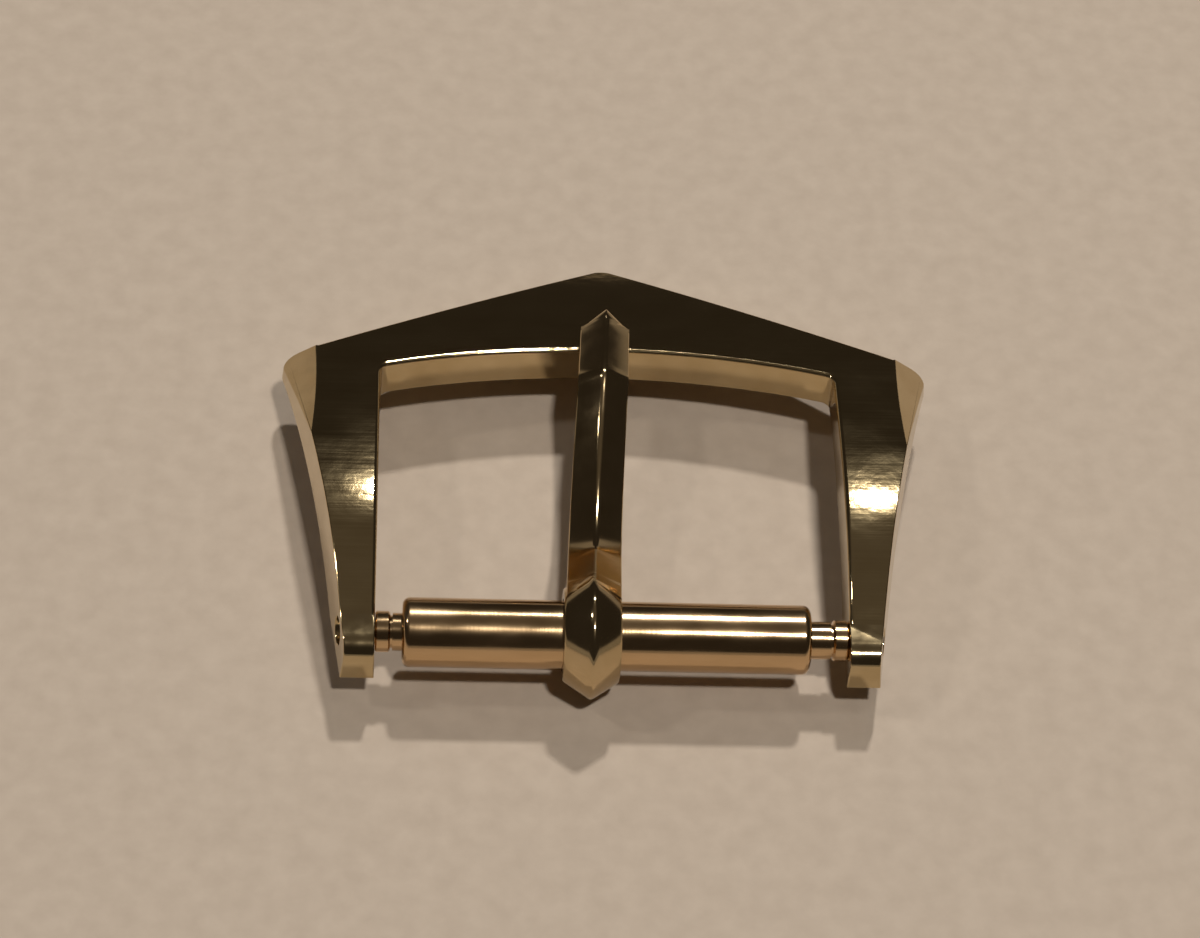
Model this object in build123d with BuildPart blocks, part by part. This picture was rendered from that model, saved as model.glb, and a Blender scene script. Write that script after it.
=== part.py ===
from build123d import *
import os
from math import cos, dist, pi, radians, sin, sqrt, tan

os.makedirs("parts", exist_ok=True)

# A tang buckle for a watch strap. X runs across the strap, +Y from the spring bar to the pointed front
# of the frame, and +Z is up. The buckle lies on its back, as it does on a table, and the origin is the
# middle of its footprint. All lengths are in millimetres. Reaches are measured forwards from the axis
# of the spring bar, and heights and depths from that axis too.

# Every cut runs past the metal by this much.
overrun = 1.0

# The strap that the buckle is made for
strap_width = 14.0

# The barrel of the spring bar
barrel_radius = 1.03
barrel_left_gap = 0.80
barrel_right_gap = 1.14
barrel_bore_radius = 0.80
barrel_lip = 0.25
barrel_lip_clearance = 0.04
barrel_end_round = 0.22

# The two pins of the spring bar, which are alike
pin_seat_clearance = 0.01
pin_tip_radius = 0.40
pin_tip_length = 0.52
pin_tip_bevel = 0.12
pin_flange = 0.44
pin_flange_radius = 0.61
pin_flange_bevel = 0.05
pin_groove = 0.07
pin_groove_radius = 0.48
pin_shank_radius = 0.56
pin_head = 0.60
pin_head_radius = 0.74
pin_head_clearance = 0.05

# The coil spring inside the barrel
spring_wire_radius = 0.10
spring_mean_radius = 0.56
spring_turns = 11
spring_end_clearance = 0.02

# The tang's ring, which turns and slides on the barrel
ring_x = -0.62
ring_half_width = 0.84
ring_ridge_radius = 1.90
ring_edge_radius = 1.42
ring_side_bevel = 0.06
ring_clearance = 0.05

# The tang's shank, which rises from the ring and rests on the front bar
shank_yaw = 3.0
shank_reach = 11.65
shank_point = 0.55
shank_root_half_width = 0.82
shank_tip_half_width = 0.76
roof_slope = 32.0
ramp_start = 0.68
ramp_end = 2.50
ramp_slope = 22.0
waist_reach = 3.90
waist_thickness = 1.10
root_reach = 1.00
root_depth = 0.90
bend_reach = 8.52
bend_radius = 0.60
nose_slope = 11.0
nose_thickness = 0.74
nose_bevel = 0.13
rest_reach = 9.00
rest_clearance = 0.03

# The frame in plan
apex_reach = 14.75
apex_round = 0.80
chevron_angle = 26.0
corner_lead = 0.06
corner_width = 3.42
corner_round = 0.65
side_draft = 6.5
side_sag = 0.18
lug_width = 1.00
bar_edge_reach = 10.20
bar_edge_corner_reach = 9.22
opening_round = 0.35
opening_edge_round = 0.14

# The frame from the side
lug_end = 1.19
lug_half_height = 0.72
lug_round = 0.65
lug_hole_radius = 0.43
lug_crease = 0.10
crest_reach = 4.50
crest_height = 1.60
front_drop = 1.944
arch_start = 1.00
arch_height = 0.05
land_depth = 0.75

# The bevels on the two front corners
facet_width = 1.41
facet_start = 6.60
facet_end = 10.05
facet_slope = 42.0

# The tang's ring is the lowest point behind, so it sets how high the spring bar lies, and the footprint
# runs from the back of that ring to the front of the frame.
axis_z = ring_ridge_radius
axis_y = (ring_ridge_radius - apex_reach) / 2
half_strap = strap_width / 2
lug_half_span = half_strap + lug_width
corner_half_span = half_strap + corner_width
land_reach = apex_reach - land_depth
front_radius = ((apex_reach - crest_reach) ** 2 + front_drop**2) / (2 * front_drop)
bar_axis = Axis((0, axis_y, axis_z), (1, 0, 0))
plan_plane = Plane(origin=(0, axis_y, 0), x_dir=(1, 0, 0), z_dir=(0, 0, 1))
side_plane = Plane(origin=(0, axis_y, axis_z), x_dir=(0, 1, 0), z_dir=(1, 0, 0))
bar_plane = Plane(origin=(0, axis_y, axis_z), x_dir=(1, 0, 0), z_dir=(0, -1, 0))


def front_arc_height(reach, lift=0.0):
    """The height of the frame's front arc, or of an arc round the same centre that lies a lift outside it."""
    radius = front_radius + lift
    return crest_height - front_radius + sqrt(radius**2 - (reach - crest_reach) ** 2)


# The frame is one arched piece with two lugs and a pointed front bar. The slanted front edges end where
# the corner bevels start, and from there each corner stands nearly straight out to the side. So the block
# that it is cut from is two side blocks with the corners on them, joined to a point that runs into both.
apex_vertex = apex_reach + apex_round * (1 / cos(radians(chevron_angle)) - 1)
bevel_half_span = corner_half_span - facet_width
bevel_reach = apex_vertex - bevel_half_span * tan(radians(chevron_angle))
corner_reach = bevel_reach + corner_lead
inner_half_span = half_strap / 2
inner_reach = bevel_reach - corner_lead * (bevel_half_span - inner_half_span) / facet_width
point_half_span = bevel_half_span + facet_width / 2
point_reach = bevel_reach - facet_width / 2 * tan(radians(chevron_angle))
frame_rear = -lug_end - overrun
frame_front = apex_vertex + overrun
frame_height = axis_z + crest_height + overrun
side_middle_span = (lug_half_span + corner_half_span) / 2 - side_sag
side_middle_reach = (frame_rear + corner_reach) / 2

with BuildPart() as frame:
    with BuildSketch(plan_plane) as side_block:
        with BuildLine():
            ThreePointArc(
                (lug_half_span, frame_rear),
                (side_middle_span, side_middle_reach),
                (corner_half_span, corner_reach),
            )
            Polyline(
                (corner_half_span, corner_reach),
                (inner_half_span, inner_reach),
                (inner_half_span, frame_rear),
                (lug_half_span, frame_rear),
            )
        make_face()
        fillet(side_block.vertices().group_by(Axis.X)[-1], corner_round)
    extrude(amount=frame_height, taper=side_draft)
    mirror(about=Plane.YZ)
    with BuildSketch(plan_plane) as point:
        with BuildLine():
            Polyline((0, 0), (point_half_span, point_reach), (0, apex_vertex), close=True)
        make_face()
        mirror(about=Plane.YZ)
        fillet(point.vertices().group_by(Axis.Y)[-1], apex_round)
    extrude(amount=frame_height, taper=side_draft)

    with BuildSketch(side_plane):
        with BuildLine():
            Line((-lug_end, -lug_half_height), (-lug_end, lug_half_height - lug_round))
            TangentArc(
                (-lug_end, lug_half_height - lug_round),
                (lug_round - lug_end, lug_half_height),
                tangent=(0, 1),
            )
            Line((lug_round - lug_end, lug_half_height), (lug_crease, lug_half_height))
            TangentArc(
                (crest_reach, crest_height), (lug_crease, lug_half_height), tangent=(-1, 0)
            )
            TangentArc(
                (crest_reach, crest_height),
                (frame_front, front_arc_height(frame_front)),
                tangent=(1, 0),
            )
            Line((frame_front, front_arc_height(frame_front)), (frame_front, -axis_z))
            Line((frame_front, -axis_z), (land_reach, -axis_z))
            ThreePointArc(
                (land_reach, -axis_z), (crest_reach, arch_height), (arch_start, -lug_half_height)
            )
            Line((arch_start, -lug_half_height), (-lug_end, -lug_half_height))
        make_face()
    extrude(amount=corner_half_span, both=True, mode=Mode.INTERSECT)

    # The opening for the strap has straight sides, and its front edge bows towards the point.
    with BuildSketch(plan_plane) as opening:
        with BuildLine():
            Line((-half_strap, bar_edge_corner_reach), (-half_strap, frame_rear))
            Line((-half_strap, frame_rear), (half_strap, frame_rear))
            Line((half_strap, frame_rear), (half_strap, bar_edge_corner_reach))
            ThreePointArc(
                (half_strap, bar_edge_corner_reach),
                (0, bar_edge_reach),
                (-half_strap, bar_edge_corner_reach),
            )
        make_face()
        fillet(opening.vertices().group_by(Axis.Y)[-1], opening_round)
    extrude(amount=frame_height, mode=Mode.SUBTRACT)

    # Each corner bevel is a plane that falls outwards from the line where it meets the top.
    facet_run = Vector(
        0, facet_end - facet_start, front_arc_height(facet_end) - front_arc_height(facet_start)
    )
    for side in (-1, 1):
        fall = Vector(side * cos(radians(facet_slope)), 0, -sin(radians(facet_slope)))
        facet = Plane(
            origin=(
                side * bevel_half_span,
                axis_y + facet_start,
                axis_z + front_arc_height(facet_start),
            ),
            x_dir=facet_run,
            z_dir=fall.cross(facet_run) * side,
        )
        with BuildSketch(facet):
            Rectangle(4 * corner_half_span, 4 * corner_half_span)
        extrude(amount=corner_half_span, mode=Mode.SUBTRACT)

    # The top edges round the opening are polished round.
    opening_edges = (
        frame.edges()
        .filter_by_position(Axis.X, -half_strap, half_strap)
        .filter_by_position(Axis.Z, axis_z + lug_half_height, axis_z + crest_height)
        .filter_by_position(Axis.Y, axis_y + lug_crease, axis_y + bar_edge_reach)
    )
    fillet(opening_edges, opening_edge_round)

    with BuildSketch(side_plane):
        Circle(lug_hole_radius)
    extrude(amount=corner_half_span, both=True, mode=Mode.SUBTRACT)
frame.part.label = "frame"
export_step(frame.part, "parts/frame.step")

# The barrel is a tube whose ends are turned inwards, so that they hold the pins' heads.
barrel_start = barrel_left_gap - half_strap
barrel_end = half_strap - barrel_right_gap
lip_radius = pin_shank_radius + barrel_lip_clearance

with BuildPart() as bar_barrel:
    with BuildSketch(bar_plane) as barrel_wall:
        with BuildLine():
            Polyline(
                (barrel_start, lip_radius),
                (barrel_start, barrel_radius),
                (barrel_end, barrel_radius),
                (barrel_end, lip_radius),
                (barrel_end - barrel_lip, lip_radius),
                (barrel_end - barrel_lip, barrel_bore_radius),
                (barrel_start + barrel_lip, barrel_bore_radius),
                (barrel_start + barrel_lip, lip_radius),
                close=True,
            )
        make_face()
        fillet(barrel_wall.vertices().group_by(Axis.Y)[-1], barrel_end_round)
    revolve(axis=bar_axis)
bar_barrel.part.label = "bar_barrel"
export_step(bar_barrel.part, "parts/bar_barrel.step")

# Each pin has a bevelled tip in the frame's lug, a flange against the lug's inner face, and a head behind
# the lip of the barrel. The barrel lies nearer the left lug, so only its right lip is close to a head.
flange_outside = half_strap - pin_seat_clearance
flange_inside = flange_outside - pin_flange
head_outside = barrel_end - barrel_lip - pin_head_clearance
head_inside = head_outside - pin_head
pin_end = flange_outside + pin_tip_length

with BuildPart() as bar_pin_right:
    with BuildSketch(bar_plane):
        with BuildLine():
            Polyline(
                (head_inside, 0),
                (head_inside, pin_head_radius),
                (head_outside, pin_head_radius),
                (head_outside, pin_shank_radius),
                (flange_inside - pin_groove, pin_shank_radius),
                (flange_inside - pin_groove, pin_groove_radius),
                (flange_inside, pin_groove_radius),
                (flange_inside, pin_flange_radius - pin_flange_bevel),
                (flange_inside + pin_flange_bevel, pin_flange_radius),
                (flange_outside - pin_flange_bevel, pin_flange_radius),
                (flange_outside, pin_flange_radius - pin_flange_bevel),
                (flange_outside, pin_tip_radius),
                (pin_end - pin_tip_bevel, pin_tip_radius),
                (pin_end, pin_tip_radius - pin_tip_bevel),
                (pin_end, 0),
                close=True,
            )
        make_face()
    revolve(axis=bar_axis)
bar_pin_right.part.label = "bar_pin_right"
export_step(bar_pin_right.part, "parts/bar_pin_right.step")

with BuildPart() as bar_pin_left:
    mirror(bar_pin_right.part, about=Plane.YZ)
bar_pin_left.part.label = "bar_pin_left"
export_step(bar_pin_left.part, "parts/bar_pin_left.step")

# The spring is one wire that pushes the two heads apart. Its route is a chain of short arcs, two for each
# quarter of a turn, that meet without a kink.
spring_start = spring_wire_radius + spring_end_clearance - head_inside
spring_rise = -2 * spring_start / spring_turns
spring_steps = 4 * spring_turns


def spring_point(step):
    """The middle of the wire after a number of quarter turns."""
    angle = pi / 2 * step
    return Vector(
        spring_start + spring_rise * step / 4,
        axis_y + spring_mean_radius * cos(angle),
        axis_z + spring_mean_radius * sin(angle),
    )


def spring_heading(step):
    """The direction in which the wire runs after a number of quarter turns."""
    angle = pi / 2 * step
    along = spring_rise / (2 * pi)
    return Vector(
        along, -spring_mean_radius * sin(angle), spring_mean_radius * cos(angle)
    ).normalized()


with BuildPart() as bar_spring:
    with BuildLine() as spring_route:
        for step in range(spring_steps):
            start, end = spring_point(step), spring_point(step + 1)
            start_heading, end_heading = spring_heading(step), spring_heading(step + 1)
            chord = end - start
            drift = chord.dot(start_heading + end_heading)
            turning = 2 * (1 - start_heading.dot(end_heading))
            reach = (sqrt(drift**2 + turning * chord.dot(chord)) - drift) / turning
            joint = (start + start_heading * reach + end - end_heading * reach) / 2
            first_arc = TangentArc(start, joint, tangent=start_heading)
            TangentArc(joint, end, tangent=first_arc % 1)
    with BuildSketch(Plane(origin=spring_point(0), z_dir=spring_heading(0))):
        Circle(spring_wire_radius)
    sweep(path=spring_route.line)
bar_spring.part.label = "bar_spring"
export_step(bar_spring.part, "parts/bar_spring.step")

# Points on the wire that are half a turn or more apart show how near it comes to itself.
wire_points = [tuple(spring_point(index / 4)) for index in range(4 * spring_steps + 1)]
least_gap = min(
    dist(near, far)
    for index, near in enumerate(wire_points)
    for far in wire_points[index + 8 :]
)
print("spring's least gap to itself", round(least_gap - 2 * spring_wire_radius, 2))

# The ridge of the tang's shank runs down a ramp from the ring to the waist, up a long curve to the bend
# over the front bar, and down the nose.
yaw_sin = sin(radians(shank_yaw))
yaw_cos = cos(radians(shank_yaw))
shank_side = Plane(
    origin=(ring_x, axis_y, axis_z), x_dir=(yaw_sin, yaw_cos, 0), z_dir=(yaw_cos, -yaw_sin, 0)
)
shank_plan = Plane(origin=(ring_x, axis_y, 0), x_dir=(yaw_cos, -yaw_sin, 0), z_dir=(0, 0, 1))
shank_axis = Axis((ring_x, axis_y, axis_z), (yaw_sin, yaw_cos, 0))

ramp_top = sqrt(ring_ridge_radius**2 - ramp_start**2)
ramp_fall = tan(radians(ramp_slope))
ramp_foot = ramp_top - (ramp_end - ramp_start) * ramp_fall
waist_height = ramp_foot - (waist_reach - ramp_end) * tan(radians(ramp_slope / 2))
shank_shoulder_reach = shank_reach - shank_point
nose_end = shank_reach + overrun
nose_end_rest = front_arc_height(nose_end, rest_clearance)
nose_fall = tan(radians(nose_slope))
tip_height = front_arc_height(shank_reach, rest_clearance) + nose_thickness
bend_height = tip_height + (shank_reach - bend_reach) * nose_fall
rest_middle = (rest_reach + nose_end) / 2
sky = ring_ridge_radius + bend_height


def ridge_line():
    """Draws the tang's ridge from the foot of the ring to past the tip, with a sharp bend."""
    Line((ramp_start, ramp_top), (ramp_end, ramp_foot))
    TangentArc((ramp_end, ramp_foot), (waist_reach, waist_height), tangent=(1, -ramp_fall))
    TangentArc((waist_reach, waist_height), (bend_reach, bend_height), tangent=(1, 0))
    Line((bend_reach, bend_height), (nose_end, tip_height - overrun * nose_fall))


# The tang is one piece, and both its ring and its shank are roofed.
with BuildPart() as tang:
    with BuildSketch(shank_side) as shank_profile:
        with BuildLine():
            ridge_line()
            Line((nose_end, tip_height - overrun * nose_fall), (nose_end, nose_end_rest))
            ThreePointArc(
                (nose_end, nose_end_rest),
                (rest_middle, front_arc_height(rest_middle, rest_clearance)),
                (rest_reach, front_arc_height(rest_reach, rest_clearance)),
            )
            TangentArc(
                (waist_reach, waist_height - waist_thickness),
                (rest_reach, front_arc_height(rest_reach, rest_clearance)),
                tangent=(1, 0),
            )
            Line((waist_reach, waist_height - waist_thickness), (root_reach, -root_depth))
            Line((root_reach, -root_depth), (0, 0))
            Line((0, 0), (ramp_start, ramp_top))
        make_face()
        fillet(
            shank_profile.vertices().sort_by_distance((bend_reach, bend_height))[0], bend_radius
        )
    extrude(amount=ring_half_width, both=True)

    # Two slanted cuts leave a roof on either side of the ridge.
    with BuildSketch(shank_side, mode=Mode.PRIVATE) as above_ridge:
        with BuildLine():
            ridge_line()
            Polyline(
                (nose_end, tip_height - overrun * nose_fall),
                (nose_end, sky),
                (0, sky),
                (0, ramp_top + ramp_start * ramp_fall),
                (ramp_start, ramp_top),
            )
        make_face()
        fillet(
            above_ridge.vertices().sort_by_distance((bend_reach, bend_height))[0], bend_radius
        )
    for side in (-1, 1):
        roof_fall = Vector(side * yaw_cos, -side * yaw_sin, -tan(radians(roof_slope)))
        extrude(
            above_ridge.sketch,
            amount=ring_half_width + overrun,
            dir=roof_fall.normalized(),
            mode=Mode.SUBTRACT,
        )

    with BuildSketch(shank_plan):
        with BuildLine():
            Polyline(
                (-shank_root_half_width, 0),
                (-shank_tip_half_width, shank_shoulder_reach),
                (0, shank_reach),
                (shank_tip_half_width, shank_shoulder_reach),
                (shank_root_half_width, 0),
                close=True,
            )
        make_face()
    extrude(amount=frame_height, mode=Mode.INTERSECT)

    nose_edges = (
        tang.edges()
        .filter_by_position(shank_axis, shank_shoulder_reach, shank_reach, inclusive=(False, False))
        .group_by(Axis.Z)[-1]
    )
    chamfer(nose_edges, nose_bevel)

    with BuildSketch(bar_plane):
        with BuildLine():
            Polyline(
                (ring_x - ring_half_width, 0),
                (ring_x - ring_half_width, ring_edge_radius - ring_side_bevel),
                (ring_x - ring_half_width + ring_side_bevel, ring_edge_radius),
                (ring_x, ring_ridge_radius),
                (ring_x + ring_half_width - ring_side_bevel, ring_edge_radius),
                (ring_x + ring_half_width, ring_edge_radius - ring_side_bevel),
                (ring_x + ring_half_width, 0),
                close=True,
            )
        make_face()
    revolve(axis=bar_axis)

    with BuildSketch(side_plane):
        Circle(barrel_radius + ring_clearance)
    extrude(amount=half_strap, both=True, mode=Mode.SUBTRACT)
tang.part.label = "tang"
export_step(tang.part, "parts/tang.step")
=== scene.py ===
import bmesh
import bpy
from math import acos, atan, cos, pi, radians, sin, sqrt, tan
from mathutils import Matrix, Vector


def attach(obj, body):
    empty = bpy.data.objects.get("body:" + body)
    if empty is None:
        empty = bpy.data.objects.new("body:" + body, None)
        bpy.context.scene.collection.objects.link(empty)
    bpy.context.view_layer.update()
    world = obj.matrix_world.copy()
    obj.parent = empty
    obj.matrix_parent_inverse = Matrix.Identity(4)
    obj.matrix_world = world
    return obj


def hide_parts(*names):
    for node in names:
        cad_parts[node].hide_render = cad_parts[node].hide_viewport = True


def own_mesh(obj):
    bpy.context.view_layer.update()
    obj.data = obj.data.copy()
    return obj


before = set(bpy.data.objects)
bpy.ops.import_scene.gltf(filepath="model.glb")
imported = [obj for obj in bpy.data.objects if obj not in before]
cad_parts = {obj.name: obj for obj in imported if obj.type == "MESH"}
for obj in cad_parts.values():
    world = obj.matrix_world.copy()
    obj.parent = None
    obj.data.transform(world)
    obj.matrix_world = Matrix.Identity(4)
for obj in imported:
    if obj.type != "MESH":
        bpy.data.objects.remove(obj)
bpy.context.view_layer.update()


# --- The frame ---
# One cast and gold-plated arch: two lugs, two arms and a pointed front bar, with a bevel on each front
# corner. Its top is brushed from side to side, and its walls and bevels are polished.

# The middle of the spring bar, from which the frame and the tang are measured in millimetres
bar_place = Matrix.Translation((0, -0.006425, 0.0019)) @ Matrix.Scale(0.001, 4)
table_depth = 1.9
half_strap = 7.0
apex_reach = 14.84
chevron_fall = tan(radians(26))
corner_span = 10.42
bevel_span = 9.01
lug_span = 8.0
lug_rear = -2.19
bevel_reach = apex_reach - bevel_span * chevron_fall
corner_reach = bevel_reach + 0.06
wall_draft = tan(radians(6.5))
cast_height = 5.0
below_table = 0.4


def arc_through(first, middle, last):
    """The centre and radius of the circle through three points."""
    (ax, ay), (bx, by), (cx, cy) = first, middle, last
    turn = 2 * (ax * (by - cy) + bx * (cy - ay) + cx * (ay - by))
    a, b, c = ax * ax + ay * ay, bx * bx + by * by, cx * cx + cy * cy
    x = (a * (by - cy) + b * (cy - ay) + c * (ay - by)) / turn
    y = (a * (cx - bx) + b * (ax - cx) + c * (bx - ax)) / turn
    return x, y, sqrt((ax - x) ** 2 + (ay - y) ** 2)


def of_kind(parts, kind):
    """The vertices, or the edges, among what an operator gives back."""
    return [part for part in parts if isinstance(part, kind)]


def line_on(mesh, start, reach, height):
    """Draws the side view on from a vertex, straight to a place."""
    end = mesh.verts.new((start.co.x, reach, height))
    mesh.edges.new((start, end))
    return end


def arc_on(mesh, start, centre, end_reach, steps):
    """Draws the side view on from a vertex, round a centre and as far as a reach."""
    radius = sqrt((start.co.y - centre[0]) ** 2 + (start.co.z - centre[1]) ** 2)
    swept = bmesh.ops.spin(
        mesh,
        geom=[start],
        cent=(start.co.x, *centre),
        axis=(1, 0, 0),
        angle=acos((end_reach - centre[0]) / radius) - acos((start.co.y - centre[0]) / radius),
        steps=steps,
    )
    return of_kind(swept["geom_last"], bmesh.types.BMVert)[0]


def carve(mesh, *tools):
    """Cuts a mesh with others, given as pairs of an operation and a mesh, and gives back the result."""
    made = []
    for index, (operation, shape) in enumerate([(None, mesh), *tools]):
        bmesh.ops.recalc_face_normals(shape, faces=shape.faces)
        data = bpy.data.meshes.new(f"carving_{index}")
        shape.to_mesh(data)
        shape.free()
        made.append(bpy.data.objects.new(f"carving_{index}", data))
        bpy.context.scene.collection.objects.link(made[-1])
        if operation:
            cut = made[0].modifiers.new(operation, "BOOLEAN")
            cut.operation = operation
            cut.solver = "EXACT"
            cut.object = made[-1]
    ready = made[0].evaluated_get(bpy.context.evaluated_depsgraph_get())
    result = bmesh.new()
    result.from_mesh(ready.to_mesh())
    ready.to_mesh_clear()
    for item in made:
        bpy.data.meshes.remove(item.data)
    return result


def cut_away(mesh, point, outwards):
    """Cuts off all that lies outside a plane, and closes the cut."""
    cut = bmesh.ops.bisect_plane(
        mesh,
        geom=mesh.verts[:] + mesh.edges[:] + mesh.faces[:],
        plane_co=point,
        plane_no=outwards,
        dist=1e-5,
        clear_outer=True,
    )
    bmesh.ops.edgenet_fill(mesh, edges=of_kind(cut["geom_cut"], bmesh.types.BMEdge))


def soften_edges(mesh, edges, width, segments=2):
    """Rounds edges by a small width."""
    bmesh.ops.bevel(
        mesh,
        geom=edges,
        offset=width,
        offset_type="OFFSET",
        affect="EDGES",
        segments=segments,
        profile=0.5,
        material=-1,
        clamp_overlap=False,
    )


def sharp_edges(mesh, angle=28):
    """The edges at which two faces meet at more than an angle."""
    return [
        edge
        for edge in mesh.edges
        if len(edge.link_faces) == 2 and edge.calc_face_angle() > radians(angle)
    ]


def finished_piece(mesh, name, body, node, materials):
    """Sets a mesh in its place beside the CAD node that it stands for, and gives it its materials."""
    mesh.transform(bar_place)
    bmesh.ops.remove_doubles(mesh, verts=mesh.verts, dist=1e-8)
    bmesh.ops.recalc_face_normals(mesh, faces=mesh.faces)
    data = bpy.data.meshes.new(name)
    mesh.to_mesh(data)
    mesh.free()
    data.shade_smooth()
    data.set_sharp_from_angle(angle=radians(16))
    for material in materials:
        data.materials.append(material)
    piece = bpy.data.objects.new(name, data)
    bpy.context.scene.collection.objects.link(piece)
    weighted = piece.modifiers.new("even_normals", "WEIGHTED_NORMAL")
    weighted.keep_sharp = True
    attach(piece, body)
    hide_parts(node)
    return piece


class Value:
    """A node socket that can be added to, multiplied and taken from a number."""

    def __init__(self, tree, socket):
        self.tree, self.socket = tree, socket

    def maths(self, operation, *others):
        node = self.tree.nodes.new("ShaderNodeMath")
        node.operation = operation
        for index, other in enumerate((self, *others)):
            if isinstance(other, Value):
                self.tree.links.new(other.socket, node.inputs[index])
            else:
                node.inputs[index].default_value = other
        return Value(self.tree, node.outputs[0])

    def __add__(self, other):
        return self.maths("ADD", other)

    def __mul__(self, other):
        return self.maths("MULTIPLY", other)

    def __rsub__(self, other):
        return self.maths("MULTIPLY", -1.0).maths("ADD", other)

    __radd__ = __add__
    __rmul__ = __mul__


class NodeTree:
    """The nodes of a material or of the room's light, and a short way to add to them."""

    def __init__(self, tree):
        self.tree = tree

    def node(self, kind, settings=None, output=0, **inputs):
        made = self.tree.nodes.new(kind)
        for key, value in (settings or {}).items():
            if key == "stops":
                for element, (position, colour) in zip(made.color_ramp.elements, value):
                    element.position = position
                    element.color = (*colour, 1)
            else:
                setattr(made, key, value)
        for key, value in inputs.items():
            socket = made.inputs[key.replace("_", " ")]
            if isinstance(value, Value):
                self.tree.links.new(value.socket, socket)
            else:
                socket.default_value = value
        return Value(self.tree, made.outputs[output])

    def axis(self, letter, source):
        """One coordinate of a texture place, as a number."""
        spot = self.node("ShaderNodeTexCoord", output=source)
        return self.node("ShaderNodeSeparateXYZ", output=letter, Vector=spot)

    def between(self, value, low, high, first, last, steps="LINEAR"):
        """Turns a value from low to high into a number from first to last."""
        return self.node(
            "ShaderNodeMapRange",
            {"interpolation_type": steps},
            Value=value,
            From_Min=low,
            From_Max=high,
            To_Min=first,
            To_Max=last,
        )


class Finish(NodeTree):
    """A material with one shader, whose colour, gloss and relief are fed by nodes."""

    def __init__(self, name, colour, roughness, metallic=1.0):
        self.material = bpy.data.materials.new(name)
        self.material.use_nodes = True
        super().__init__(self.material.node_tree)
        self.shader = self.tree.nodes["Principled BSDF"]
        self.shader.inputs["Base Color"].default_value = (*colour, 1)
        self.shader.inputs["Roughness"].default_value = roughness
        self.shader.inputs["Metallic"].default_value = metallic

    def noise(self, scale, turn=(0, 0, 0), detail=2.0):
        spot = self.node("ShaderNodeTexCoord", output="Object")
        place = self.node("ShaderNodeMapping", Vector=spot, Scale=scale, Rotation=turn)
        return self.node("ShaderNodeTexNoise", Vector=place, Scale=1.0, Detail=detail)

    def feed(self, socket, value):
        self.tree.links.new(value.socket, self.shader.inputs[socket])

    def gloss(self, value, smooth, rough):
        """Lets the roughness follow a noise, from a smooth to a rough amount."""
        self.feed("Roughness", self.between(value, 0.3, 0.7, smooth, rough))

    def tint(self, value, dull, clean):
        """Lets the colour follow a noise, from a dull to a clean colour."""
        self.feed("Base Color", self.node("ShaderNodeValToRGB", {"stops": ((0.3, dull), (0.7, clean))}, Fac=value))

    def relief(self, height, distance):
        """Lets a height from 0 to 1 stand out of the surface by up to a distance in metres."""
        self.feed(
            "Normal",
            self.node("ShaderNodeBump", output="Normal", Height=height, Strength=1.0, Distance=distance),
        )


# Plated gold on the top, brushed from side to side and then worn smooth, with a few shallow dents
brushed_gold = Finish("brushed_gold", (0.60, 0.46, 0.26), 0.09)
brush_lines = brushed_gold.noise((400, 22000, 400), detail=3.0)
worn_patches = brushed_gold.noise((700, 900, 700))
shallow_dents = brushed_gold.noise((2300, 2600, 2300), detail=3.0)
brushed_gold.gloss(brush_lines * 0.5 + worn_patches * 0.5, 0.05, 0.10)
brushed_gold.tint(worn_patches * 0.6 + brush_lines * 0.4, (0.54, 0.41, 0.22), (0.62, 0.49, 0.28))
brushed_gold.relief(brush_lines * 0.035 + shallow_dents * 0.9, 0.000005)

# Plated gold that is polished, with a faint orange-peel and a few fine rubs
polished_gold = Finish("polished_gold", (0.60, 0.47, 0.27), 0.10)
rub_marks = polished_gold.noise((1800, 1800, 1800), detail=4.0)
polished_gold.gloss(rub_marks, 0.07, 0.15)
polished_gold.tint(polished_gold.noise((1000, 1000, 1000)), (0.52, 0.40, 0.22), (0.58, 0.46, 0.27))
polished_gold.relief(polished_gold.noise((900, 900, 900)), 0.000001)

frame_mesh = bmesh.new()
outline = [
    (lug_span, lug_rear),
    (corner_span, corner_reach),
    (bevel_span, bevel_reach),
    (0, apex_reach),
    (-bevel_span, bevel_reach),
    (-corner_span, corner_reach),
    (-lug_span, lug_rear),
    (-half_strap, lug_rear),
    (-half_strap, 9.22),
    (half_strap, 9.22),
    (half_strap, lug_rear),
]
posts = [frame_mesh.verts.new((x, y, 0)) for x, y in outline]
plate = frame_mesh.faces.new(posts)
right_wall, left_wall, bar_edge = (
    frame_mesh.edges.get((posts[first], posts[second])) for first, second in ((0, 1), (5, 6), (8, 9))
)
bmesh.ops.subdivide_edges(frame_mesh, edges=[right_wall, left_wall], cuts=9)
bmesh.ops.subdivide_edges(frame_mesh, edges=[bar_edge], cuts=15)

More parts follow.
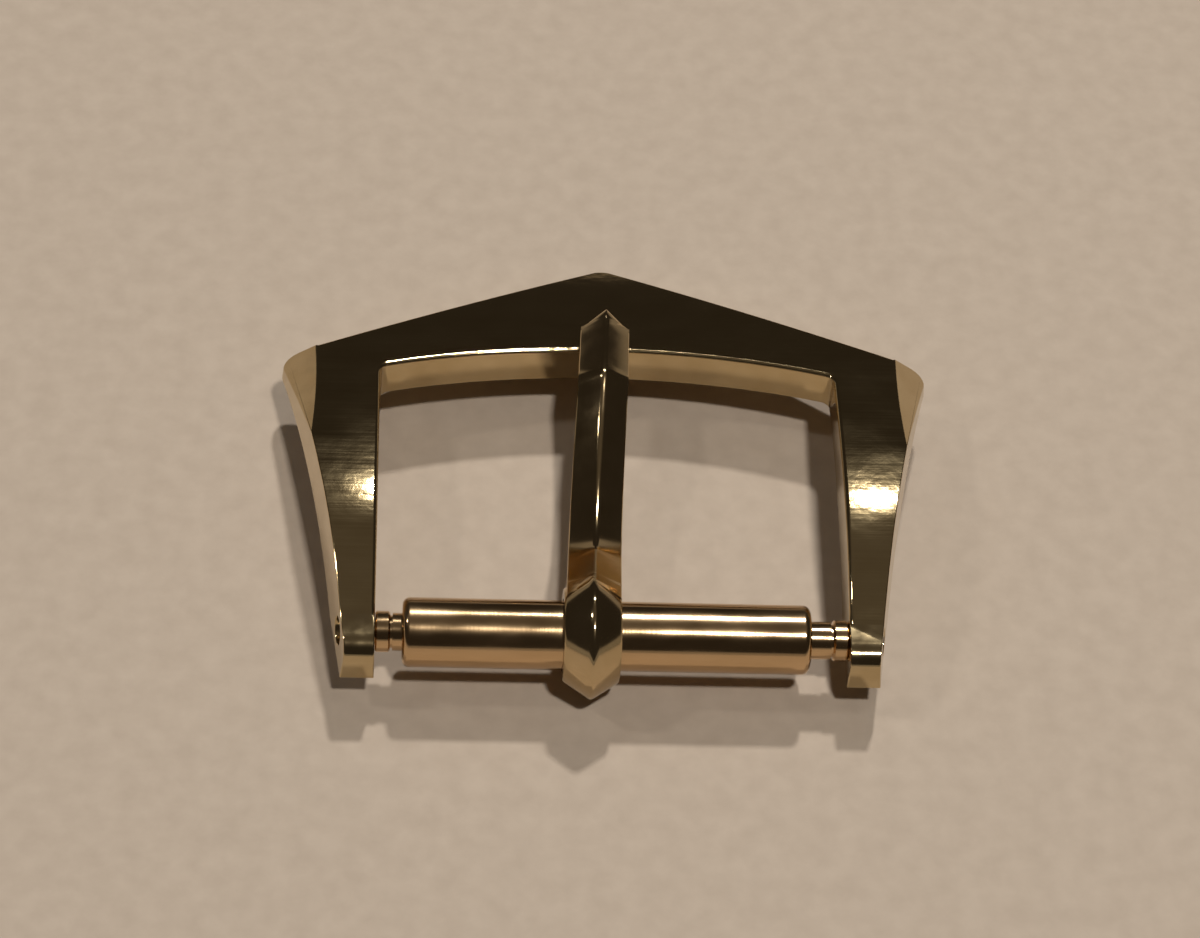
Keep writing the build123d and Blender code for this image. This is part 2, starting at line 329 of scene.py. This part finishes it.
# The walls bow inwards a little, and the bar's inner edge bows towards the point.
bar_bow = arc_through((-half_strap, 9.22), (0, 10.20), (half_strap, 9.22))
for corner in frame_mesh.verts:
    if abs(corner.co.x) > half_strap + 0.01 and corner.co.y < bevel_reach - 0.01:
        share = (corner.co.y - lug_rear) / (corner_reach - lug_rear)
        corner.co.x -= (1 if corner.co.x > 0 else -1) * 0.18 * 4 * share * (1 - share)
    elif abs(corner.co.x) < half_strap - 0.01 and corner.co.y < 9.5:
        corner.co.y = bar_bow[1] + sqrt(bar_bow[2] ** 2 - corner.co.x**2)
for corner, cut_back, steps in (
    (outline[3], 0.39, 10),
    (outline[1], 0.87, 10),
    (outline[5], 0.87, 10),
    (outline[8], 0.26, 6),
    (outline[9], 0.26, 6),
):
    post = min(frame_mesh.verts, key=lambda vertex: (vertex.co.xy - Vector(corner)).length)
    bmesh.ops.bevel(
        frame_mesh,
        geom=[post],
        offset=cut_back,
        affect="VERTICES",
        segments=steps,
        profile=0.5,
        material=-1,
        clamp_overlap=False,
    )

# The outline is raised to a block whose outer walls lean inwards, as the casting's do.
raised = bmesh.ops.extrude_face_region(frame_mesh, geom=frame_mesh.faces[:])
block_top = of_kind(raised["geom"], bmesh.types.BMVert)
bmesh.ops.translate(frame_mesh, verts=block_top, vec=(0, 0, cast_height))
bmesh.ops.recalc_face_normals(frame_mesh, faces=frame_mesh.faces)
leans = {}
for post in frame_mesh.verts:
    walls = [
        side.normal
        for side in post.link_faces
        if abs(side.normal.z) < 0.5
        and (
            abs(side.calc_center_median().x) > half_strap + 0.001
            or side.calc_center_median().y > 10.3
        )
    ]
    if walls:
        leans[post] = sum(walls, Vector()) / (1 + walls[0].dot(walls[-1]) if len(walls) > 1 else 1)
for post, lean in leans.items():
    post.co -= lean * wall_draft * (post.co.z - below_table)
bmesh.ops.translate(frame_mesh, verts=frame_mesh.verts, vec=(0, 0, -table_depth - below_table))

# The arch is cut to its side view, and the lugs are drilled for the pins.
side_view = bmesh.new()
heel = side_view.verts.new((-12, -1.19, -0.72))
at = line_on(side_view, heel, -1.19, 0.0)
at = arc_on(side_view, at, (-0.54, 0.0), -0.54, 10)
at = line_on(side_view, at, -0.46, 0.657)
at = line_on(side_view, at, 0.10, 0.72)
at = arc_on(side_view, at, (4.5, 1.60 - 11.44), 4.5, 20)
at = arc_on(side_view, at, (4.5, 1.60 - 28.0), 15.5, 44)
at = line_on(side_view, at, 15.5, -table_depth)
at = line_on(side_view, at, 14.0, -table_depth)
at = arc_on(side_view, at, arc_through((14.0, -table_depth), (4.5, 0.05), (1.0, -0.72))[:2], 1.0, 40)
side_view.edges.new((at, heel))
bmesh.ops.remove_doubles(side_view, verts=side_view.verts, dist=1e-4)
bmesh.ops.contextual_create(side_view, geom=side_view.edges)
raised = bmesh.ops.extrude_face_region(side_view, geom=side_view.faces[:])
bmesh.ops.translate(side_view, verts=of_kind(raised["geom"], bmesh.types.BMVert), vec=(24, 0, 0))
drill = bmesh.new()
bmesh.ops.create_cone(
    drill,
    cap_ends=True,
    segments=48,
    radius1=0.43,
    radius2=0.43,
    depth=30,
    matrix=Matrix.Rotation(pi / 2, 4, "Y"),
)
frame_mesh = carve(frame_mesh, ("INTERSECT", side_view), ("DIFFERENCE", drill))

# Each front corner is ground to a bevel that falls outwards.
front_arc = [1.60 - 28.0 + sqrt(28.0**2 - (reach - 4.5) ** 2) for reach in (6.60, 10.05)]
facet_run = Vector((0, 10.05 - 6.60, front_arc[1] - front_arc[0]))
for side in (-1, 1):
    fall = Vector((side * cos(radians(42)), 0, -sin(radians(42))))
    outwards = fall.cross(facet_run) * side
    outwards.normalize()
    cut_away(frame_mesh, Vector((side * bevel_span, 6.60, front_arc[0])), outwards)

bmesh.ops.dissolve_limit(
    frame_mesh, angle_limit=radians(0.3), verts=frame_mesh.verts, edges=frame_mesh.edges
)
bmesh.ops.remove_doubles(frame_mesh, verts=frame_mesh.verts, dist=0.04)
bmesh.ops.recalc_face_normals(frame_mesh, faces=frame_mesh.faces)
inner_edges = [
    edge
    for edge in sharp_edges(frame_mesh, 40)
    if all(abs(end.co.x) < half_strap + 0.001 for end in edge.verts)
    and all(0.09 < end.co.y < 10.3 for end in edge.verts)
    and all(end.co.z > 0.6 for end in edge.verts)
]
soften_edges(frame_mesh, inner_edges, 0.14, 7)
soften_edges(frame_mesh, sharp_edges(frame_mesh), 0.03)
bmesh.ops.recalc_face_normals(frame_mesh, faces=frame_mesh.faces)
for side in frame_mesh.faces:
    upper = side.normal.z > 0.88 and side.calc_center_median().y > 0.05
    side.material_index = 0 if upper else 1
frame_piece = finished_piece(
    frame_mesh,
    "cast_frame",
    "frame",
    "frame",
    [brushed_gold.material, polished_gold.material],
)


# --- The spring bar ---
# A turned tube whose ends are rolled inwards over two pins, each with a flange, a groove and a bevelled
# tip that sits in a lug. The plating is rosier than the frame's, with fine turning lines round it.

turned_gold = Finish("turned_gold", (0.62, 0.43, 0.24), 0.12)
turning_lines = turned_gold.noise((16000, 60, 60))
handling = turned_gold.noise((500, 1500, 1500), detail=3.0)
turned_gold.gloss(handling, 0.09, 0.18)
turned_gold.tint(handling, (0.57, 0.39, 0.21), (0.66, 0.46, 0.26))
turned_gold.relief(turning_lines, 0.0000007)


def turned_piece(profile, name, body, node, material, rounded=(), round_width=0.0):
    """Turns a closed outline, given as distances along and radii, round the bar's axis."""
    mesh = bmesh.new()
    points = [mesh.verts.new((along, 0, radius)) for along, radius in profile]
    mesh.faces.new(points)
    if rounded:
        bmesh.ops.bevel(
            mesh,
            geom=[points[index] for index in rounded],
            offset=round_width,
            affect="VERTICES",
            segments=6,
            profile=0.5,
            material=-1,
            clamp_overlap=False,
        )
    rim = mesh.edges[:]
    bmesh.ops.delete(mesh, geom=mesh.faces[:], context="FACES_ONLY")
    bmesh.ops.spin(
        mesh,
        geom=mesh.verts[:] + rim,
        cent=(0, 0, 0),
        axis=(1, 0, 0),
        angle=2 * pi,
        steps=96,
        use_merge=True,
    )
    bmesh.ops.remove_doubles(mesh, verts=mesh.verts, dist=1e-5)
    return finished_piece(mesh, name, body, node, [material])


turned_piece(
    [(-6.20, 0.60), (-6.20, 1.03), (5.86, 1.03), (5.86, 0.60), (5.61, 0.60), (5.61, 0.80), (-5.95, 0.80), (-5.95, 0.60)],
    "turned_barrel",
    "barrel",
    "bar_barrel",
    turned_gold.material,
    rounded=(1, 2),
    round_width=0.22,
)
for side, name, body in ((-1, "left", "pin_left"), (1, "right", "pin_right")):
    turned_piece(
        [
            (side * along, radius)
            for along, radius in (
                (4.96, 0.0), (4.96, 0.74), (5.56, 0.74), (5.56, 0.56), (6.48, 0.56), (6.48, 0.48),
                (6.55, 0.48), (6.55, 0.56), (6.60, 0.61), (6.94, 0.61), (6.99, 0.56), (6.99, 0.40),
                (7.39, 0.40), (7.51, 0.28), (7.51, 0.0),
            )
        ],
        f"turned_pin_{name}",
        body,
        f"bar_pin_{name}",
        turned_gold.material,
    )


# --- The coil spring ---
# Hard drawn steel wire, wound inside the barrel between the heads of the two pins. It shows only where
# the barrel is opened, so the CAD coil's own mesh is used, with a drawn finish.

drawn_steel = Finish("drawn_steel", (0.56, 0.56, 0.57), 0.28)
drawing_marks = drawn_steel.noise((9000, 2500, 2500))
drawn_steel.gloss(drawing_marks, 0.20, 0.36)
drawn_steel.tint(drawing_marks, (0.50, 0.50, 0.51), (0.60, 0.60, 0.61))

# The coil is cut into two halves at the bar's middle, and both halves stay with the barrel. On the real bar either
# pin squeezes the half beside it towards the middle.
coil_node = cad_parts["bar_spring"]
for side, name, travel in ((-1, "left", 0.33), (1, "right", 0.67)):
    coil_mesh = bmesh.new()
    coil_mesh.from_mesh(coil_node.data)
    coil_mesh.transform(bar_place.inverted() @ coil_node.matrix_world)
    bmesh.ops.remove_doubles(coil_mesh, verts=coil_mesh.verts, dist=1e-4)
    cut_away(coil_mesh, (0, 0, 0), (-side, 0, 0))
    coil_piece = finished_piece(
        coil_mesh, f"coil_{name}", "barrel", "bar_spring", [drawn_steel.material]
    )
    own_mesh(coil_piece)


# --- The tang ---
# One formed and polished piece: a roofed ring round the barrel, and a roofed shank that dips behind the
# front bar, bends over it and ends in a point. It lies at the angle that its play on the barrel allows.

tang_gold = Finish("tang_gold", (0.56, 0.43, 0.24), 0.09)
tang_rubs = tang_gold.noise((1500, 1500, 1500), detail=4.0)
tang_gold.gloss(tang_rubs, 0.07, 0.14)
tang_gold.tint(tang_gold.noise((900, 900, 900)), (0.53, 0.40, 0.22), (0.60, 0.46, 0.27))
tang_gold.relief(tang_gold.noise((1100, 1100, 1100)), 0.0000012)

roof_fall = tan(radians(32))
ramp_fall = tan(radians(22))
nose_fall = tan(radians(11))
ramp_foot_height = sqrt(1.9**2 - 0.68**2) - (2.50 - 0.68) * ramp_fall
waist_height = ramp_foot_height - (3.90 - 2.50) * tan(radians(11))


def front_arc_height(reach):
    """The height of the frame's front arc, which the nose of the tang follows just above it."""
    return 1.60 - 28.0 + sqrt(28.03**2 - (reach - 4.5) ** 2)


tip_height = front_arc_height(11.65) + 0.74
bend_height = tip_height + (11.65 - 8.52) * nose_fall
rise_radius = ((8.52 - 3.90) ** 2 + (bend_height - waist_height) ** 2) / (2 * (bend_height - waist_height))
dip_radius = (2.50 - 3.90) ** 2 / (2 * (ramp_foot_height - waist_height))
rise_slope = 2 * atan((bend_height - waist_height) / (8.52 - 3.90))
bend_cut = 0.60 * tan((rise_slope + radians(11)) / 2)


def ridge_height(reach):
    """The height of the shank's ridge over the bar's axis."""
    if reach < 2.50:
        return ramp_foot_height + (2.50 - reach) * ramp_fall
    if reach < 3.90:
        return waist_height + (3.90 - reach) ** 2 / (2 * dip_radius)
    if reach > bend_start and reach < bend_stop:
        return bend_centre[1] + sqrt(0.60**2 - (reach - bend_centre[0]) ** 2)
    if reach < 8.52:
        return waist_height + rise_radius - sqrt(rise_radius**2 - (reach - 3.90) ** 2)
    return tip_height + (11.65 - reach) * nose_fall


bend_start = 8.52 - bend_cut * cos(rise_slope)
bend_stop = 8.52 + bend_cut * cos(radians(11))
bend_centre = (
    bend_stop - 0.60 * sin(radians(11)),
    bend_height - bend_cut * sin(radians(11)) - 0.60 * cos(radians(11)),
)


def shank_underside(reach):
    """The height of the shank's underside over the bar's axis."""
    if reach < 1.135:
        return sqrt(max(1.13**2 - reach**2, 0))
    if reach < 1.30:
        return -0.85
    if reach < 3.90:
        return -0.90 + (reach - 1.0) * (waist_height - 1.10 + 0.90) / 2.90
    if reach > 9.0:
        return front_arc_height(reach)
    belly = ((9.0 - 3.90) ** 2 + (front_arc_height(9.0) - waist_height + 1.10) ** 2) / (
        2 * (front_arc_height(9.0) - waist_height + 1.10)
    )
    return waist_height - 1.10 + belly - sqrt(belly**2 - (reach - 3.90) ** 2)


tang_mesh = bmesh.new()
reaches = [0.68]
for stop, steps in ((1.10, 5), (1.13, 1), (1.20, 1), (2.50, 4), (3.90, 10), (bend_start, 24), (bend_stop, 12), (9.0, 1), (12.2, 12)):
    reaches += [reaches[-1] + (stop - reaches[-1]) * step / steps for step in range(1, steps + 1)]
ridge_points = [tang_mesh.verts.new((0, reach, ridge_height(reach))) for reach in reaches]
rail = [tang_mesh.edges.new(pair) for pair in zip(ridge_points, ridge_points[1:])]

# The ridge line is drawn out in turn to the eaves, the lower edges and the eaves on the other side.
for across, lowered in ((0.84, False), (0.84, True), (-0.84, True), (-0.84, False)):
    drawn = bmesh.ops.extrude_edge_only(tang_mesh, edges=rail)
    rail = of_kind(drawn["geom"], bmesh.types.BMEdge)
    for corner in of_kind(drawn["geom"], bmesh.types.BMVert):
        reach = min(reaches, key=lambda value: abs(value - corner.co.y))
        corner.co.x = across
        corner.co.z = shank_underside(reach) if lowered else ridge_height(reach) - 0.84 * roof_fall
drawn = bmesh.ops.extrude_edge_only(tang_mesh, edges=rail)
for corner in of_kind(drawn["geom"], bmesh.types.BMVert):
    corner.co = (0, corner.co.y, ridge_height(corner.co.y))
bmesh.ops.remove_doubles(tang_mesh, verts=tang_mesh.verts, dist=1e-4)
for corner in tang_mesh.verts:
    if corner.co.y < 0.70 and abs(corner.co.x) > 0.5:
        upper = corner.co.z > 1.2
        corner.co.z = corner.co.z + (0.68 - 0.40) * ramp_fall if upper else sqrt(1.13**2 - 0.40**2)
        corner.co.y = 0.40
bmesh.ops.holes_fill(tang_mesh, edges=tang_mesh.edges, sides=0)
bmesh.ops.recalc_face_normals(tang_mesh, faces=tang_mesh.faces)
for side in (-1, 1):
    cut_away(tang_mesh, (side * 0.82, 0, 0), (side * 11.10, 0.06, 0))
    cut_away(tang_mesh, (side * 0.76, 11.10, 0), (side * 0.55, 0.76, 0))
bmesh.ops.recalc_face_normals(tang_mesh, faces=tang_mesh.faces)
nose_edges = [
    edge
    for edge in sharp_edges(tang_mesh)
    if all(end.co.y > 11.05 and end.co.z > 0.9 for end in edge.verts)
    and abs(edge.verts[0].co.x - edge.verts[1].co.x) > 0.3
    and abs(edge.verts[0].co.y - edge.verts[1].co.y) > 0.1
]
soften_edges(tang_mesh, nose_edges, 0.13, 1)
ridge_edges = [
    edge
    for edge in sharp_edges(tang_mesh)
    if all(abs(end.co.x) < 0.01 and 2.4 < end.co.y < 11.3 and end.co.z > 0.2 for end in edge.verts)
]
soften_edges(tang_mesh, ridge_edges, 0.12, 5)
soften_edges(tang_mesh, [edge for edge in sharp_edges(tang_mesh) if edge.calc_length() > 0.05], 0.03)
bmesh.ops.transform(
    tang_mesh,
    matrix=Matrix.Translation((-0.62, 0, 0)) @ Matrix.Rotation(radians(-3), 4, "Z"),
    verts=tang_mesh.verts[:],
)
ring_profile = [
    (-1.46, 1.08), (-1.46, 1.36), (-1.40, 1.42), (-0.76, 1.836), (-0.71, 1.861), (-0.67, 1.877),
    (-0.64, 1.885), (-0.60, 1.885), (-0.57, 1.877), (-0.53, 1.861), (-0.48, 1.836),
    (0.16, 1.42), (0.22, 1.36), (0.22, 1.08),
]
ring_points = [tang_mesh.verts.new((along, 0, radius)) for along, radius in ring_profile]
ring_rim = [
    tang_mesh.edges.new((ring_points[index - 1], ring_points[index])) for index in range(len(ring_points))
]
bmesh.ops.spin(
    tang_mesh,
    geom=ring_points + ring_rim,
    cent=(0, 0, 0),
    axis=(1, 0, 0),
    angle=2 * pi,
    steps=96,
    use_merge=True,
)
bmesh.ops.remove_doubles(tang_mesh, verts=tang_mesh.verts, dist=1e-5)
finished_piece(tang_mesh, "formed_tang", "tang", "tang", [tang_gold.material])


# --- The table, the light and the camera ---
# A plain pale surface, two lamps in a dim warm room, and a camera where the photograph was taken from.

table_finish = Finish("pale_table", (0.50, 0.415, 0.335), 0.85, metallic=0.0)
table_finish.tint(
    table_finish.noise((1400, 1400, 1400), detail=4.0), (0.475, 0.392, 0.315), (0.525, 0.438, 0.355)
)
table_mesh = bmesh.new()
bmesh.ops.create_grid(table_mesh, x_segments=1, y_segments=1, size=0.6)
table_data = bpy.data.meshes.new("table")
table_mesh.to_mesh(table_data)
table_mesh.free()
table_data.materials.append(table_finish.material)
table = bpy.data.objects.new("table", table_data)
bpy.context.scene.collection.objects.link(table)

bar_middle = Vector((0, -0.006425, 0.0019))


def hang_lamp(name, direction, distance, width, power, colour):
    """Hangs a square lamp in a direction from the buckle, turned towards it."""
    data = bpy.data.lights.new(name, "AREA")
    data.shape = "DISK"
    data.size = width
    data.energy = power
    data.color = colour
    lamp = bpy.data.objects.new(name, data)
    bpy.context.scene.collection.objects.link(lamp)
    direction = Vector(direction).normalized()
    lamp.location = bar_middle + direction * distance
    lamp.rotation_mode = "QUATERNION"
    lamp.rotation_quaternion = direction.to_track_quat("Z", "Y")


hang_lamp("far_lamp", (0.11, cos(radians(55.5)), sin(radians(55.5))), 0.45, 0.029, 0.95, (1.0, 0.97, 0.92))
hang_lamp("near_lamp", (0.17, -0.33, 0.93), 0.45, 0.032, 0.95, (1.0, 0.95, 0.88))
hang_lamp("side_lamp", (-0.62, 0.10, 0.78), 0.45, 0.035, 0.16, (1.0, 0.95, 0.88))

# The room is dark, a little lighter overhead, and the pale table runs on to a low horizon.
world = bpy.data.worlds.new("dim_room")
bpy.context.scene.world = world
world.use_nodes = True
room = NodeTree(world.node_tree)
overhead = room.between(room.axis("Z", "Generated"), 0.70, 1.0, 0.0, 0.07, "SMOOTHSTEP")
horizon = room.between(room.axis("Z", "Generated"), 0.11, 0.15, 0.23, 0.0, "SMOOTHSTEP")
glow = room.node(
    "ShaderNodeValToRGB", {"stops": ((0.0, (0.030, 0.025, 0.020)), (1.0, (1.0, 0.86, 0.70)))}, Fac=overhead + horizon
)
room.tree.links.new(glow.socket, room.tree.nodes["Background"].inputs["Color"])
room.tree.nodes["Background"].inputs["Strength"].default_value = 1.0

elevation, swing, roll = radians(54), radians(6.39), radians(6.36)
right = Vector((cos(swing), -sin(swing), 0))
up = Vector((sin(swing) * sin(elevation), cos(swing) * sin(elevation), cos(elevation)))
back = Vector((-sin(swing) * cos(elevation), -cos(swing) * cos(elevation), sin(elevation)))
level = Matrix(
    (right * cos(roll) + up * sin(roll), up * cos(roll) - right * sin(roll), back)
).transposed()
aim = Matrix.Rotation(atan(167.19 / 3717), 3, "X") @ Matrix.Rotation(atan(11.84 / 3717), 3, "Y")
camera_data = bpy.data.cameras.new("camera")
camera_data.sensor_width = 36
camera_data.lens = 36 * 3717 / 1200
camera_data.clip_start = 0.005
camera_data.clip_end = 5.0
camera = bpy.data.objects.new("camera", camera_data)
bpy.context.scene.collection.objects.link(camera)
camera.matrix_world = Matrix.Translation(bar_middle + back * 0.110) @ (level @ aim).to_4x4()
bpy.context.scene.camera = camera
bpy.context.scene.view_settings.view_transform = "Standard"
